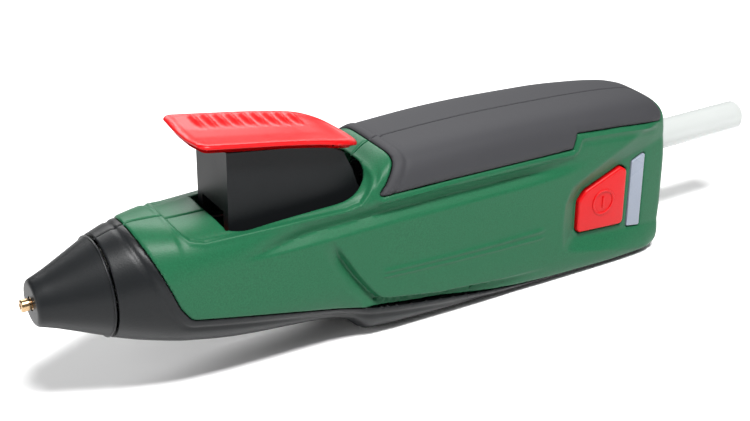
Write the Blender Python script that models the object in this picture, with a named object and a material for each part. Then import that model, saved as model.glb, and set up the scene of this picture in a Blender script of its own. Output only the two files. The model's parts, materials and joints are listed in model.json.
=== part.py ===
"""Cordless pen-shaped hot-glue gun.

The glue axis runs along X: the nozzle points to -X and the glue stick goes in at the +X end.
Stations along the tool are measured in millimetres from the nozzle tip, and heights from the
glue axis. The origin of the finished model is on the flat belly that the tool stands on.
"""

import math

import bmesh
import bpy
from mathutils import Matrix, Vector

MM = 0.001

# Overall sizes (mm)
TAIL_X = 152.5          # nozzle tip to the flat tail
BELLY_Z = -23.3         # flat belly under the glue axis
BELLY_FRONT = 72.0      # where the foot of the belly begins
BELLY_REAR = 137.0      # where the belly begins to rise to the tail
HALF_WIDTH = 13.7       # widest half of the housing
ORIGIN_X = (BELLY_FRONT + BELLY_REAR) / 2
WALL = 1.8              # housing wall
GAP = 0.3               # gap between neighbouring pieces
TAIL_ROUND = 1.8        # rounding of the tail's rim

# Nose
CONE_FRONT = 2.0
CONE_REAR = 15.6
CONE_TIP_R = 4.9
CONE_R = 10.4
CONE_WALL = 1.5

# Glue stick and its path
STICK_R = 3.6
STICK_LENGTH = 150.0
STICK_OUT = 32.0        # how far the stick stands out of the tail
STICK_CLEAR = 0.4       # radial room around the stick
NOZZLE_R = 1.3
NOZZLE_BORE = 0.55
CHAMBER_FRONT = 9.0
CHAMBER_REAR = 37.0
CHAMBER_R = 5.6
SLEEVE_REAR = 40.2

# Lever
PIVOT_X, PIVOT_Z = 80.0, 6.4
PIN_R = 1.5
LEVER_HALF = 7.1
CHEEK = 1.5
LEVER_TRAVEL = math.radians(10)
SLOT_HALF = 10.6
SLOT_FRONT, SLOT_REAR = 39.6, 73.0
PAD_HALF = 9.7
PAD_THICK = 2.3

# Feed carriage
CARRIAGE_FRONT, CARRIAGE_REAR = 54.5, 67.0
CARRIAGE_HALF = 5.2
STROKE = 5.4
CAM_X, CAM_Z, CAM_R = 60.0, 3.6, 1.1
JAW_PIVOT_X, JAW_PIVOT_Z = 64.0, 6.6

# Power pack
CELL_R, CELL_LENGTH = 7.1, 65.0
CELL_X, CELL_Z = 76.5, -13.9
BOARD_Y, BOARD_THICK = -8.6, 1.2
BUTTON_TRAVEL = 0.6

# Screws: station, height, and the head's depth below the side of the housing
SCREWS = [(52.0, -8.4), (69.5, -12.4), (100.0, 6.7), (145.0, 7.5), (146.2, -18.2)]
SCREW_R, HEAD_R, HEAD_H = 1.0, 1.7, 1.4
BOSS_R = 2.6

GREEN = (0.030, 0.165, 0.085, 1)
BLACK = (0.022, 0.024, 0.026, 1)
RED = (0.75, 0.010, 0.012, 1)
FINISHES = {
    "green": (GREEN, 0.42, 0.0),
    "black": (BLACK, 0.5, 0.0),
    "soft_black": (BLACK, 0.65, 0.0),
    "red": (RED, 0.3, 0.0),
    "brass": ((0.72, 0.48, 0.22, 1), 0.25, 1.0),
    "aluminium": ((0.78, 0.78, 0.80, 1), 0.3, 1.0),
    "steel": ((0.60, 0.60, 0.62, 1), 0.3, 1.0),
    "silicone": ((0.75, 0.30, 0.20, 1), 0.6, 0.0),
    "glue": ((0.90, 0.89, 0.84, 1), 0.2, 0.0),
    "board": ((0.02, 0.20, 0.08, 1), 0.5, 0.0),
    "cell": ((0.05, 0.20, 0.50, 1), 0.4, 0.0),
    "lens": ((0.60, 0.64, 0.70, 1), 0.25, 0.0),
    "ceramic": ((0.85, 0.83, 0.78, 1), 0.6, 0.0),
    "white": ((0.80, 0.80, 0.78, 1), 0.5, 0.0),
}

# Stations of the housing: x, half width, top, bottom, height of the widest line,
# roundness of the upper and lower half (2 is an ellipse, more is squarer)
HOUSING = [
    (CONE_REAR, CONE_R, CONE_R, -CONE_R, 0.0, 2.0, 2.0),
    (22.0, 12.0, 11.9, -12.4, -0.6, 2.2, 2.3),
    (30.0, 13.1, 11.5, -14.1, -1.8, 3.2, 2.8),
    (40.0, HALF_WIDTH - 0.4, 11.2, -16.0, -3.2, 4.2, 3.0),
    (62.0, HALF_WIDTH - 0.3, 11.3, -19.0, -5.0, 6.0, 2.8),
    (67.0, HALF_WIDTH - 0.3, 11.8, -20.2, -5.5, 6.0, 3.2),
    (72.0, HALF_WIDTH - 0.2, 14.0, BELLY_Z - 0.7, -6.0, 6.0, 3.4),
    (77.5, HALF_WIDTH - 0.1, 17.1, BELLY_Z - 0.7, -6.0, 6.0, 3.9),
    (98.0, HALF_WIDTH, 17.5, BELLY_Z - 0.7, -6.0, 6.6, 4.8),
    (125.0, HALF_WIDTH, 16.6, BELLY_Z - 0.7, -6.0, 6.0, 6.0),
    (BELLY_REAR, HALF_WIDTH, 15.8, BELLY_Z - 0.7, -6.0, 4.8, 6.6),
    (146.0, HALF_WIDTH - 0.2, 14.7, BELLY_Z - 0.6, -6.0, 4.0, 6.5),
    (TAIL_X, HALF_WIDTH - 0.7, 12.9, BELLY_Z + 0.4, -6.0, 3.2, 5.2),
]

# Lower edge of the green shells: station and height
GREEN_LOW = [(29.6, -5.9), (36.0, -7.3), (50.0, -10.5), (60.0, -13.0), (69.0, -15.1), (78.0, -16.7),
             (88.0, -18.3), (106.0, -21.0), (125.0, -22.3), (137.0, -22.5), (TAIL_X, -22.5)]
GREEN_FRONT_TOP, GREEN_FRONT_SLOPE = (22.0, 11.5), 0.385

# Outline of the soft grip, seen from the side
GRIP_OUTLINE = [(72.0, 10.2), (90.0, 10.2), (122.2, 9.6), (123.6, 12.9), (136.0, 11.7), (149.6, 10.0),
                (150.4, 11.2), (150.4, 22.0), (79.2, 22.0), (77.6, 17.2), (75.9, 15.0), (74.1, 12.4)]

# Button, its lens and the recess around them, seen from the side
BUTTON_OUTLINE = [(125.8, -12.6), (139.4, -13.6), (139.4, 0.2), (137.6, 1.4), (127.6, -2.4), (125.8, -4.6)]
LENS_OUTLINE = [(141.2, -15.0), (145.0, -15.6), (145.0, 3.0), (141.2, 1.6)]
RECESS_DEPTH = 0.9


# ---------------------------------------------------------------- helpers

def clear_scene():
    for old in list(bpy.data.objects):
        bpy.data.objects.remove(old)


def new_collection(name, hidden=False):
    made = bpy.data.collections.new(name)
    bpy.context.scene.collection.children.link(made)
    made.hide_render = hidden
    return made


def material(name):
    found = bpy.data.materials.get(name)
    if found:
        return found
    colour, rough, metal = FINISHES[name]
    found = bpy.data.materials.new(name)
    found.use_nodes = True
    shader = found.node_tree.nodes["Principled BSDF"]
    shader.inputs["Base Color"].default_value = colour
    shader.inputs["Roughness"].default_value = rough
    shader.inputs["Metallic"].default_value = metal
    found.diffuse_color = colour
    return found


def place(x, y, z):
    """A station, side and height in millimetres as a point of the finished model in metres."""
    return Vector(((x - ORIGIN_X) * MM, y * MM, (z - BELLY_Z) * MM))


def object_from(bm, name, finish=None, smooth=40):
    """An object of a bmesh that was drawn in stations and heights."""
    bmesh.ops.remove_doubles(bm, verts=bm.verts, dist=1e-4)
    bmesh.ops.recalc_face_normals(bm, faces=bm.faces)
    for vert in bm.verts:
        vert.co = place(*vert.co)
    mesh = bpy.data.meshes.new(name)
    bm.to_mesh(mesh)
    bm.free()
    mesh.shade_smooth()
    mesh.set_sharp_from_angle(angle=math.radians(smooth))
    made = bpy.data.objects.new(name, mesh)
    if finish:
        PARTS.objects.link(made)
        mesh.materials.append(material(finish))
    else:
        CUTTERS.objects.link(made)
        made.hide_render = True
        made.display_type = "WIRE"
    return made


def cut(target, tool, operation="DIFFERENCE"):
    modifier = target.modifiers.new(tool.name, "BOOLEAN")
    modifier.operation = operation
    modifier.object = tool
    modifier.solver = "EXACT"
    return target


def prism(outline, low, high, name, finish=None, axis="y"):
    """An outline of (x, z) points pushed along Y, or of (x, y) points pushed along Z."""
    bm = bmesh.new()
    if axis == "y":
        verts = [bm.verts.new((a, low, b)) for a, b in outline]
        push = (0, high - low, 0)
    else:
        verts = [bm.verts.new((a, b, low)) for a, b in outline]
        push = (0, 0, high - low)
    face = bm.faces.new(verts)
    grown = bmesh.ops.extrude_face_region(bm, geom=[face])
    moved = [v for v in grown["geom"] if isinstance(v, bmesh.types.BMVert)]
    bmesh.ops.translate(bm, verts=moved, vec=push)
    return object_from(bm, name, finish)


def box(low, high, name, finish=None):
    bm = bmesh.new()
    bmesh.ops.create_cube(bm, size=1.0)
    low, high = Vector(low), Vector(high)
    bmesh.ops.scale(bm, vec=high - low, verts=bm.verts)
    bmesh.ops.translate(bm, vec=(low + high) / 2, verts=bm.verts)
    return object_from(bm, name, finish)


def rod(start, end, radius, name, finish=None, end_radius=None, segments=24):
    """A cylinder or cone from one point to another."""
    start, end = Vector(start), Vector(end)
    bm = bmesh.new()
    bmesh.ops.create_cone(bm, cap_ends=True, segments=segments, radius1=radius,
                          radius2=radius if end_radius is None else end_radius,
                          depth=(end - start).length)
    turn = (end - start).to_track_quat("Z", "Y").to_matrix().to_4x4()
    bmesh.ops.transform(bm, matrix=Matrix.Translation((start + end) / 2) @ turn, verts=bm.verts)
    return object_from(bm, name, finish)


def turned(profile, name, finish=None, steps=32, height=0.0):
    """A profile of (station, radius) points, closed, spun around the glue axis."""
    bm = bmesh.new()
    verts = [bm.verts.new((x, 0, r)) for x, r in profile]
    edges = [bm.edges.new((verts[i], verts[(i + 1) % len(verts)])) for i in range(len(verts))]
    bmesh.ops.spin(bm, geom=verts + edges, cent=(0, 0, 0), axis=(1, 0, 0),
                   angle=math.tau, steps=steps, use_merge=True)
    bmesh.ops.translate(bm, vec=(0, 0, height), verts=bm.verts)
    return object_from(bm, name, finish)


def smooth_value(table, column, x):
    """A column of a station table at x, by monotone cubic interpolation."""
    xs = [row[0] for row in table]
    ys = [row[column] for row in table]
    if x <= xs[0]:
        return ys[0]
    if x >= xs[-1]:
        return ys[-1]
    slopes = [(ys[i + 1] - ys[i]) / (xs[i + 1] - xs[i]) for i in range(len(xs) - 1)]
    tangents = [slopes[0]]
    for left, right in zip(slopes, slopes[1:]):
        tangents.append(0.0 if left * right <= 0 else 2 * left * right / (left + right))
    tangents.append(slopes[-1])
    i = max(k for k in range(len(xs) - 1) if xs[k] <= x)
    h = xs[i + 1] - xs[i]
    t = (x - xs[i]) / h
    return ((2 * t**3 - 3 * t**2 + 1) * ys[i] + (t**3 - 2 * t**2 + t) * h * tangents[i]
            + (3 * t**2 - 2 * t**3) * ys[i + 1] + (t**3 - t**2) * h * tangents[i + 1])


def power(value, exponent):
    return math.copysign(abs(value) ** exponent, value)


def ring_of(half, top, bottom, middle, upper, lower, count):
    """The (y, z) points of one rounded section."""
    points = []
    for k in range(count):
        angle = math.tau * k / count
        round_of = upper if math.sin(angle) >= 0 else lower
        reach = top - middle if math.sin(angle) >= 0 else middle - bottom
        points.append((half * power(math.cos(angle), 2 / round_of),
                       middle + reach * power(math.sin(angle), 2 / round_of)))
    return points


def loft(sections, name, finish=None):
    """A closed skin through (x, ring of (y, z)) sections."""
    bm = bmesh.new()
    rings = [[bm.verts.new((x, y, z)) for y, z in ring] for x, ring in sections]
    count = len(rings[0])
    for near, far in zip(rings, rings[1:]):
        for k in range(count):
            bm.faces.new((near[k], near[(k + 1) % count], far[(k + 1) % count], far[k]))
    bm.faces.new(rings[0])
    bm.faces.new(rings[-1][::-1])
    return object_from(bm, name, finish)


def housing_row(x, inset=0.0):
    half, top, bottom, middle, upper, lower = (smooth_value(HOUSING, c, x) for c in range(1, 7))
    left = TAIL_X - inset - x
    drawn_in = 0.0
    if left < TAIL_ROUND:
        drawn_in = TAIL_ROUND - math.sqrt(max(0.0, TAIL_ROUND**2 - (TAIL_ROUND - left) ** 2))
    inset += drawn_in
    return half - inset, top - inset, bottom + inset, middle, upper, lower


def housing_half(x, z):
    """The outside half width of the housing at a station and height."""
    half, top, bottom, middle, upper, lower = housing_row(x)
    round_of = upper if z > middle else lower
    reach = top - middle if z > middle else middle - bottom
    share = min(1.0, abs(z - middle) / reach)
    return half * (1 - share**round_of) ** (1 / round_of)


def housing_solid(name, inset, front, rear, count=40):
    stations = [front + (rear - 2.4 - front) * k / 30 for k in range(31)]
    stations += [rear - 1.6, rear - 0.9]
    stations += [rear - 0.35, rear]
    return loft([(x, ring_of(*housing_row(x, inset), count)) for x in stations], name)


def about_pivot(x, z, angle):
    """A station and height turned about the lever's pivot; a press of the lever is positive."""
    dx, dz = x - PIVOT_X, z - PIVOT_Z
    return (PIVOT_X + dx * math.cos(angle) - dz * math.sin(angle),
            PIVOT_Z + dx * math.sin(angle) + dz * math.cos(angle))


# ---------------------------------------------------------------- housing

def green_low_line(shift):
    """Points along the green shells' lower edge, moved down by shift."""
    first, last = GREEN_LOW[0][0], TAIL_X + 4
    steps = 24
    points = []
    for k in range(steps + 1):
        x = first + (last - first) * k / steps
        points.append((x, smooth_value(GREEN_LOW, 1, x) - shift))
    return points


def green_front_x(z):
    return GREEN_FRONT_TOP[0] + (GREEN_FRONT_TOP[1] - z) * GREEN_FRONT_SLOPE


def green_region(shift):
    """Side outline of the green shells, grown by shift."""
    low = green_low_line(shift)
    corner_z = low[0][1]
    front = [(green_front_x(z) - shift, z) for z in (24.0, 11.5, 2.0, corner_z + 2.2)]
    corner = [(green_front_x(corner_z) + 0.9 - shift, corner_z + 0.4)]
    return front + corner + [(x, z) for x, z in low[1:]] + [(TAIL_X + 4, 24.0)]


def grow(outline, amount):
    """A convex-ish outline pushed outwards, point by point, from its middle."""
    made = []
    count = len(outline)
    area = sum(outline[i][0] * outline[(i + 1) % count][1] - outline[(i + 1) % count][0] * outline[i][1]
               for i in range(count))
    side = 1 if area > 0 else -1
    for i, point in enumerate(outline):
        before, after = Vector(outline[i - 1]), Vector(outline[(i + 1) % count])
        here = Vector(point)
        a = (here - before).normalized()
        b = (after - here).normalized()
        normal = Vector((a.y + b.y, -a.x - b.x)) * side
        normal.normalize()
        edge_normal = Vector((a.y, -a.x)) * side
        here = here + normal * (amount / max(0.4, normal.dot(edge_normal)))
        made.append((here.x, here.y))
    return made


def shell_cutters():
    """Cutters that more than one of the housing's pieces share."""
    slot = []
    for k in range(13):
        angle = math.pi * k / 12
        slot.append((SLOT_REAR - 8.6 + 8.6 * power(math.sin(angle), 0.8), SLOT_HALF * power(math.cos(angle), 0.8)))
    slot += [(SLOT_FRONT, -SLOT_HALF + 0.6), (SLOT_FRONT - 0.4, 0.0), (SLOT_FRONT, SLOT_HALF - 0.6)]
    made = {
        "inside": housing_solid("inside_space", WALL, CONE_REAR - 3, TAIL_X - WALL),
        "floor": box((0, -40, BELLY_Z - 20), (TAIL_X + 9, 40, BELLY_Z), "floor_cut"),
        "slot": prism(slot, 4.0, 40.0, "lever_slot", axis="z"),
        "stick": rod((TAIL_X - 8, 0, 0), (TAIL_X + 8, 0, 0), STICK_R + STICK_CLEAR + 0.4, "stick_hole"),
        "green": prism(green_region(GAP), -40, 40, "green_space"),
        "grip": prism(grow(GRIP_OUTLINE, GAP), -40, 40, "grip_space"),
        "button": prism(grow(BUTTON_OUTLINE, GAP), -40, -5, "button_hole"),
        "lens": prism(grow(LENS_OUTLINE, GAP), -40, -9.5, "lens_hole"),
        "usb": box((TAIL_X - 6, -7.9, -13.4), (TAIL_X + 4, -4.2, -5.0), "charge_hole"),
        "recess": recess_cutter(),
        "pin": rod((PIVOT_X, -11.3, PIVOT_Z), (PIVOT_X, 11.3, PIVOT_Z), PIN_R + 0.15, "pin_hole"),
    }
    return made


def recess_cutter():
    """The sunk field around the button and the lens, with sloping walls."""
    floor_y = -(HALF_WIDTH - RECESS_DEPTH)
    floor = [(125.0, -14.6), (160.0, -16.8), (160.0, 8.0), (147.0, 4.6), (137.6, 2.2), (126.6, -1.8), (125.0, -4.0)]
    bm = bmesh.new()
    inner = [bm.verts.new((x, floor_y, z)) for x, z in floor]
    rim_out = 5.0
    rim = [bm.verts.new((x, floor_y - rim_out, z)) for x, z in grow(floor, rim_out * 2.0)]
    count = len(floor)
    bm.faces.new(inner)
    bm.faces.new(rim[::-1])
    for i in range(count):
        j = (i + 1) % count
        bm.faces.new((inner[i], rim[i], rim[j], inner[j]))
    return object_from(bm, "recess_cut")


def half_space(side, name):
    """Everything on one side of the middle plane, short of it by half a gap."""
    near, far = side * GAP / 2, side * 40
    return box((-20, min(near, far), -60), (TAIL_X + 40, max(near, far), 60), name)


def boss(x, z, side, name):
    reach = housing_half(x, z) - 0.8
    return rod((x, side * GAP / 2, z), (x, side * reach, z), BOSS_R, name)


def screw_seat_y(x, z):
    """How far from the middle plane a screw's head rests."""
    return housing_half(x, z) - HEAD_H - 2.6


def make_part(piece, finish):
    """Turns a helper solid into one of the model's pieces."""
    CUTTERS.objects.unlink(piece)
    PARTS.objects.link(piece)
    piece.hide_render = False
    piece.display_type = "TEXTURED"
    piece.data.materials.append(material(finish))


def build_keel(tools):
    """The black base that runs from the nose ring under the whole belly."""
    keel = housing_solid("keel", 0.0, CONE_REAR + GAP, TAIL_X)
    make_part(keel, "black")
    for tool in ("inside", "green", "floor"):
        cut(keel, tools[tool])


def build_housing():
    tools = shell_cutters()
    build_keel(tools)
    for side, word in ((-1, "left"), (1, "right")):
        half = half_space(side, f"{word}_half")
        shell = housing_solid(f"shell_{word}", 0.0, CONE_REAR + 3, TAIL_X)
        grip = housing_solid(f"grip_{word}", 0.0, CONE_REAR + 3, TAIL_X)
        region = prism(green_region(0.0), -40, 40, f"{word}_green_region")
        grip_region = prism(GRIP_OUTLINE, -40, 40, f"{word}_grip_region")
        for piece, finish in ((shell, "green"), (grip, "soft_black")):
            make_part(piece, finish)
            cut(piece, half, "INTERSECT")
            cut(piece, tools["inside"])
        cut(shell, region, "INTERSECT")
        cut(shell, tools["grip"])
        cut(shell, tools["slot"])
        cut(grip, grip_region, "INTERSECT")
        cut(grip, tools["slot"])
        seat = rod((PIVOT_X, side * 8.2, PIVOT_Z), (PIVOT_X, side * (HALF_WIDTH - 1.5), PIVOT_Z), 2.9, f"{word}_pin_seat")
        post = HALF_WIDTH - 1.7
        hold = box((PIVOT_X - 2.9, min(side * 9.0, side * post), 6.0),
                   (PIVOT_X + 2.9, max(side * 9.0, side * post), PIVOT_Z), f"{word}_pin_post")
        cut(shell, hold, "UNION")
        cut(shell, seat, "UNION")
        for i, (x, z) in enumerate(SCREWS, 1):
            cut(shell, boss(x, z, side, f"{word}_boss_{i}"), "UNION")
        cut(shell, tools["pin"])
        if side < 0:
            cut(shell, tools["recess"])
            cut(shell, tools["button"])
            cut(shell, tools["lens"])
        cut(shell, tools["usb"])
        cut(shell, tools["stick"])
        for i, (x, z) in enumerate(SCREWS, 1):
            if side < 0:
                hole = rod((x, -housing_half(x, z) + 2.2, z), (x, 5, z), SCREW_R + 0.2, f"pilot_{i}")
                cut(shell, hole)
            else:
                seat_y = screw_seat_y(x, z)
                cut(shell, rod((x, -5, z), (x, seat_y + 1, z), SCREW_R + 0.3, f"clear_{i}"))
                cut(shell, rod((x, seat_y, z), (x, 30, z), HEAD_R + 0.25, f"head_seat_{i}"))


def build_screws():
    for i, (x, z) in enumerate(SCREWS, 1):
        seat_y = screw_seat_y(x, z) + 0.2
        tip_y = -housing_half(x, z) + 3.2
        shank = rod((x, tip_y, z), (x, seat_y + 0.5, z), SCREW_R, f"housing_screw_{i}", "steel", segments=16)
        head = rod((x, seat_y, z), (x, seat_y + HEAD_H, z), HEAD_R, f"screw_head_{i}", segments=20)
        cut(shank, head, "UNION")
        drive = rod((x, seat_y + 0.7, z), (x, seat_y + HEAD_H + 1, z), 0.8, f"screw_drive_{i}", segments=6)
        cut(shank, drive)


def build_nose():
    tip, inner = CONE_TIP_R, CONE_TIP_R - CONE_WALL
    rear_in = CONE_R - CONE_WALL
    turned([(CONE_FRONT, NOZZLE_R + 0.7), (CONE_FRONT, tip - 1.0), (CONE_FRONT + 0.35, tip - 0.3),
            (CONE_FRONT + 1.0, tip + 0.15), (CONE_REAR - 0.3, CONE_R), (CONE_REAR, CONE_R - 0.2),
            (CONE_REAR, rear_in), (CONE_FRONT + 3.0, inner + 0.7), (CONE_FRONT + 1.8, NOZZLE_R + 0.7)],
           "nose_cone", "black", steps=48)


def build_hot_end():
    turned([(0.0, NOZZLE_BORE), (0.0, NOZZLE_R - 0.35), (0.3, NOZZLE_R), (4.6, NOZZLE_R), (7.0, 2.6),
            (8.4, 2.6), (8.4, 3.6), (CHAMBER_FRONT + 2.4, 3.6), (CHAMBER_FRONT + 2.4, 2.2),
            (6.4, NOZZLE_BORE)], "nozzle", "brass")
    start = CHAMBER_FRONT + 2.4 + GAP
    bore = STICK_R + STICK_CLEAR
    turned([(start, 2.2), (start, CHAMBER_R), (CHAMBER_REAR, CHAMBER_R), (CHAMBER_REAR, bore),
            (start + 3.0, bore)], "melt_chamber", "aluminium")
    turned([(7.1, 2.6 + GAP), (5.8, 2.35), (5.8, 3.1), (8.0, 4.5), (start - GAP, 5.3),
            (start - GAP, 3.6 + GAP), (8.4 - GAP, 3.6 + GAP), (8.4 - GAP, 2.6 + GAP)],
           "nozzle_seal", "silicone")
    sleeve_in = STICK_R + 0.3
    turned([(CHAMBER_REAR + GAP, sleeve_in), (CHAMBER_REAR + GAP, CHAMBER_R + GAP),
            (CHAMBER_REAR - 4, CHAMBER_R + GAP), (CHAMBER_REAR - 4, CHAMBER_R + 1.3),
            (SLEEVE_REAR - 1.2, CHAMBER_R + 1.3), (SLEEVE_REAR, 5.6), (SLEEVE_REAR, sleeve_in)], "inlet_sleeve", "silicone")
    top = CHAMBER_R + GAP
    box((16.5, -3.4, top), (29.5, 3.4, top + 1.1), "heater_plate", "ceramic")
    build_heater_clip()


def build_heater_clip():
    """A sprung band that presses the heating plate onto the chamber."""
    rise = CHAMBER_R + GAP + 1.1 + GAP
    outer, inner = rise + 0.6, CHAMBER_R + GAP
    strip = []
    low_angles = [math.radians(a) for a in range(-68, 31, 14)]
    outside = [(inner + 0.6, a) for a in low_angles]
    inside = [(inner, a) for a in reversed(low_angles)]
    half = [(r * math.cos(a), r * math.sin(a)) for r, a in outside]
    half += [(4.2, outer)]
    back = [(3.7, rise)] + [(r * math.cos(a), r * math.sin(a)) for r, a in inside]
    strip = half + [(-y, z) for y, z in reversed(half)]
    strip += [(-y, z) for y, z in reversed(back)] + back
    bm = bmesh.new()
    verts = [bm.verts.new((20.0, y, z)) for y, z in strip]
    face = bm.faces.new(verts)
    grown = bmesh.ops.extrude_face_region(bm, geom=[face])
    moved = [v for v in grown["geom"] if isinstance(v, bmesh.types.BMVert)]
    bmesh.ops.translate(bm, verts=moved, vec=(6.0, 0, 0))
    object_from(bm, "heater_clip", "steel")


# ---------------------------------------------------------------- lever

def pad_row(x):
    """Half width, top, bottom and so on of the thumb pad at a station."""
    tops = [(35.0, 29.0), (44.0, 27.5), (56.0, 25.4), (64.0, 23.6), (69.0, 21.8), (73.4, 19.2)]
    top = smooth_value(tops, 1, x)
    round_front = 2.6
    half = PAD_HALF
    if x < 35.0 + round_front:
        half -= round_front - math.sqrt(max(0.0, round_front**2 - (35.0 + round_front - x) ** 2))
    round_start, round_reach = 62.0, 11.6
    if x > round_start:
        half *= math.sqrt(max(0.02, 1 - ((x - round_start) / round_reach) ** 2))
    thick = PAD_THICK - 0.9 * max(0.0, (x - 60.0) / 13.4)
    return half, top, top - thick, top - thick * 0.55, 3.0, 3.0


def build_pad():
    stations = [35.0, 35.3, 36.0, 37.6] + [37.6 + 24.4 * k / 10 for k in range(1, 11)]
    stations += [62.0 + 11.4 * math.sin(math.pi / 2 * k / 9) for k in range(1, 10)]
    loft([(x, ring_of(*pad_row(x), 28)) for x in stations], "lever_pad", "red")


def build_lever():
    face, top = PIVOT_X - 39.1, 25.0
    under = PAD_THICK + GAP
    outline = [(face, 7.2), (face + 0.3, top), (56.0, 25.4 - under), (64.0, 23.6 - under + 0.2),
               (67.2, 19.4), (69.3, 15.0), (70.4, 11.5), (71.5, 9.8), (75.5, 9.4)]
    boss_r = 3.0
    outline += [(PIVOT_X + boss_r * math.cos(a), PIVOT_Z + boss_r * math.sin(a))
                for a in [math.radians(d) for d in range(105, -106, -21)]]
    outline += [(72.0, 3.0), (67.5, 0.4), (63.5, -1.2), (57.0, -1.0), (51.0, 4.4), (46.0, 6.6)]
    frame = prism(outline, -LEVER_HALF, LEVER_HALF, "lever_frame", "black")
    inner_half = LEVER_HALF - CHEEK
    inner_face = face + 0.3 + CHEEK
    hollow = [(inner_face, -9.0), (inner_face, top - CHEEK - 0.3), (56.0, 25.4 - under - CHEEK),
              (64.0, 18.6), (66.5, 16.5), (PIVOT_X + 9, 16.5), (PIVOT_X + 9, -9.0)]
    cut(frame, prism(hollow, -inner_half, inner_half, "lever_hollow"))
    cut(frame, rod((PIVOT_X, -20, PIVOT_Z), (PIVOT_X, 20, PIVOT_Z), PIN_R + 0.15, "lever_bore"))
    cut(frame, cam_slot())
    cut(frame, box((face - 5, -4.9, 0), (face + 4, 4.9, 11.7), "sleeve_notch"))
    rod((PIVOT_X, -11.0, PIVOT_Z), (PIVOT_X, 11.0, PIVOT_Z), PIN_R, "lever_pivot_pin", "steel")


def cam_path(share):
    """Where the carriage's pin sits in the lever's own frame, at a share of the stroke."""
    return about_pivot(CAM_X - STROKE * share, CAM_Z, -LEVER_TRAVEL * share)


def cam_slot():
    """The slot that the carriage's pin runs in, swept along the pin's path."""
    width = CAM_R + 0.3
    path = [Vector(cam_path(-0.04 + 1.08 * k / 12)) for k in range(13)]
    left, right = [], []
    for k, point in enumerate(path):
        ahead = path[min(k + 1, 12)] - path[max(k - 1, 0)]
        normal = Vector((-ahead.y, ahead.x)).normalized() * width
        left.append(point + normal)
        right.append(point - normal)
    outline = left + round_end(path[-1], path[-1] - path[-2], width) + right[::-1]
    outline += round_end(path[0], path[0] - path[1], width)
    depth = LEVER_HALF - 0.5
    return prism([(p.x, p.y) for p in outline], -depth, depth, "cam_slot")


def round_end(centre, direction, width):
    """Half a circle around the end of a slot, from its left side to its right side."""
    heading = math.atan2(direction.y, direction.x)
    return [centre + Vector((math.cos(heading + a), math.sin(heading + a))) * width
            for a in (math.radians(d) for d in (60, 20, -20, -60))]


def build_carriage():
    bore = STICK_R + STICK_CLEAR
    block = box((CARRIAGE_FRONT, -CARRIAGE_HALF, -5.4), (CARRIAGE_REAR, CARRIAGE_HALF, 5.6),
                "feed_carriage", "black")
    ears = box((JAW_PIVOT_X - 2.2, -CARRIAGE_HALF, 4.0), (JAW_PIVOT_X + 2.2, CARRIAGE_HALF, 8.4), "jaw_ears")
    cut(block, ears, "UNION")
    cut(block, rod((CARRIAGE_FRONT - 2, 0, 0), (CARRIAGE_REAR + 2, 0, 0), bore, "carriage_bore"))
    cut(block, box((CARRIAGE_FRONT + 1.6, -2.6, 2.0), (CARRIAGE_REAR + 1, 2.6, 12.0), "jaw_window"))
    cut(block, rod((JAW_PIVOT_X, -9, JAW_PIVOT_Z), (JAW_PIVOT_X, 9, JAW_PIVOT_Z), 0.9, "jaw_bore"))
    pin_hole = rod((CAM_X, -9, CAM_Z), (CAM_X, 9, CAM_Z), CAM_R + 0.2, "cam_bore")
    cut(block, pin_hole)
    for side, word in ((-1, "left"), (1, "right")):
        rod((CAM_X, side * 4.3, CAM_Z), (CAM_X, side * (LEVER_HALF - 0.7), CAM_Z), CAM_R,
            f"cam_pin_{word}", "steel", segments=16)
    rod((JAW_PIVOT_X, -4.9, JAW_PIVOT_Z), (JAW_PIVOT_X, 4.9, JAW_PIVOT_Z), 0.7, "jaw_pin", "steel", segments=16)
    build_jaw()


def build_jaw():
    """The toothed rocker that bites the stick from above."""
    teeth_z = STICK_R + 0.15
    outline = [(JAW_PIVOT_X + 1.6 * math.cos(a), JAW_PIVOT_Z + 1.6 * math.sin(a))
               for a in [math.radians(d) for d in range(-60, 151, 30)]]
    outline += [(58.2, 6.4), (57.2, teeth_z + 0.1), (57.9, teeth_z + 0.9), (58.6, teeth_z),
                (59.3, teeth_z + 0.9), (60.0, teeth_z), (60.7, teeth_z + 0.9), (61.4, teeth_z + 0.5)]
    jaw = prism(outline, -2.2, 2.2, "grip_jaw", "steel")
    cut(jaw, rod((JAW_PIVOT_X, -6, JAW_PIVOT_Z), (JAW_PIVOT_X, 6, JAW_PIVOT_Z), 0.9, "jaw_eye"))


def build_spring():
    """The carriage's return spring, coiled around the stick."""
    wire, radius, turns = 0.3, 4.1, 6.5
    start, end = SLEEVE_REAR + GAP + wire, CARRIAGE_FRONT - GAP - wire
    curve = bpy.data.curves.new("return_spring", "CURVE")
    curve.dimensions = "3D"
    curve.bevel_depth = wire * MM
    curve.bevel_resolution = 2
    curve.use_fill_caps = True
    spline = curve.splines.new("POLY")
    count = int(turns * 12)
    spline.points.add(count)
    for k in range(count + 1):
        share = k / count
        angle = math.tau * turns * share
        point = place(start + (end - start) * share, radius * math.cos(angle), radius * math.sin(angle))
        spline.points[k].co = (*point, 1)
    made = bpy.data.objects.new("return_spring", curve)
    PARTS.objects.link(made)
    curve.materials.append(material("steel"))


# ---------------------------------------------------------------- stick and electrics

def build_stick():
    rear = TAIL_X + STICK_OUT
    front = rear - STICK_LENGTH
    turned([(front, 0.0), (front, STICK_R - 0.4), (front + 0.4, STICK_R), (rear - 0.5, STICK_R),
            (rear, STICK_R - 0.5), (rear, 0.0)], "glue_stick", "glue")
    bore, outside = STICK_R + STICK_CLEAR, STICK_R + STICK_CLEAR + 0.7
    turned([(105.0, bore), (105.0, outside), (TAIL_X - WALL - GAP, outside), (TAIL_X - WALL - GAP, bore)],
           "stick_guide", "black")


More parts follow.
